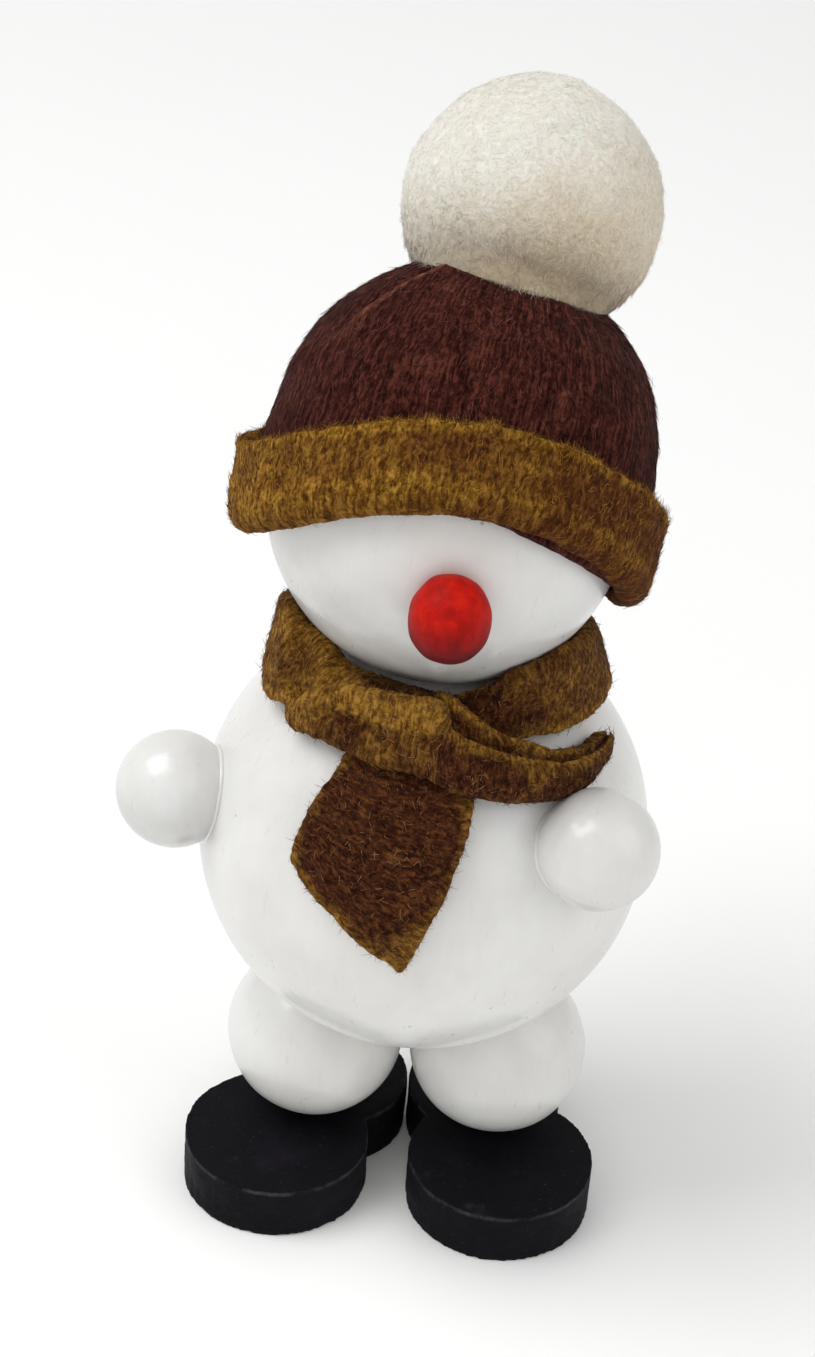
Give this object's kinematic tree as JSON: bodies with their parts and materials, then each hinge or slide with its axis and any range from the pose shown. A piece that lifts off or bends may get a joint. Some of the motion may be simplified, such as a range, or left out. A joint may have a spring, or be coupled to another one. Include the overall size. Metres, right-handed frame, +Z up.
{
  "type": "wooden snowman figure",
  "caption": "Standing snowman of white painted wooden balls on dowels, with black board feet, red ball nose, felt hat with woolly pompom and felt scarf.",
  "frame": {"origin": "on the surface that the soles stand on, under the middle of the overall box", "axes": "+Z up; the figure faces -Y, with its legs side by side along X"},
  "size_m": [0.0706, 0.0674, 0.155],
  "materials": {
    "white_paint": "satin white paint over turned wood",
    "red_paint": "red paint over turned wood, low sheen",
    "black_paint": "matt black paint over sawn wood, rubbed at the edges",
    "beech": "bare dowel wood",
    "maroon_felt": "brushed wool felt",
    "mustard_felt": "brushed wool felt",
    "brown_felt": "mottled wool felt",
    "white_wool": "felted wool ball"
  },
  "bodies": {
    "figure": {"body_ball": "white_paint", "neck_dowel": "beech", "left_leg_ball": "white_paint", "right_leg_ball": "white_paint", "left_foot": "black_paint", "right_foot": "black_paint", "left_hip_dowel": "beech", "right_hip_dowel": "beech", "left_ankle_dowel": "beech", "right_ankle_dowel": "beech", "left_arm_ball": "white_paint", "right_arm_ball": "white_paint", "left_arm_dowel": "beech", "right_arm_dowel": "beech", "scarf": "brown_felt"},
    "head": {"head_ball": "white_paint", "nose_ball": "red_paint", "nose_peg": "beech"},
    "hat": {"hat_crown": "maroon_felt", "hat_brim": "mustard_felt", "pompom": "white_wool"}
  },
  "joints": [
    {"name": "head_turn", "type": "hinge", "parent": "figure", "child": "head", "pos_m": [0.00501, -0.00064, 0.0856], "axis": [0, 0, 1], "range_deg": [-15, 60]},
    {"name": "hat_lift", "type": "slide", "parent": "head", "child": "hat", "axis": [0.1392, 0.568, 0.8112], "range_m": [0, 0.045]}
  ]
}
